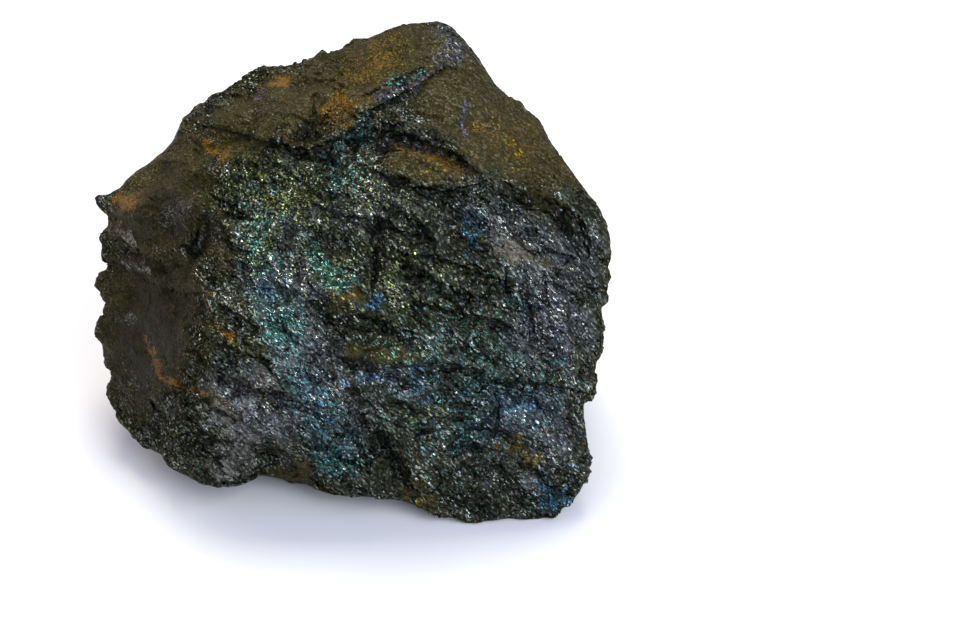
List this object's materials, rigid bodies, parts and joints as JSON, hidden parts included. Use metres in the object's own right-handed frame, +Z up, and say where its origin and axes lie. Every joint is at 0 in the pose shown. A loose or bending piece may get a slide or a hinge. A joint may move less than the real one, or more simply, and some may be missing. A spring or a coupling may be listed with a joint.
{
  "type": "germanite specimen",
  "caption": "Broken lump of dark massive metallic ore with a bluish tarnish and brown weathered faces, resting on a flat broken face.",
  "frame": {"origin": "on the flat resting face, under the middle of the lump", "axes": "+Z up, away from the resting face; -Y is the front, where the ore is freshest and most tarnished; +X is to the right of someone who looks at the front"},
  "size_m": [0.0925, 0.0677, 0.0707],
  "materials": {
    "tarnished_ore": "dark grey granular metallic ore with iridescent blue-green tarnish and brown weathered faces"
  },
  "bodies": {
    "root": {"germanite_lump": "tarnished_ore"}
  },
  "joints": []
}
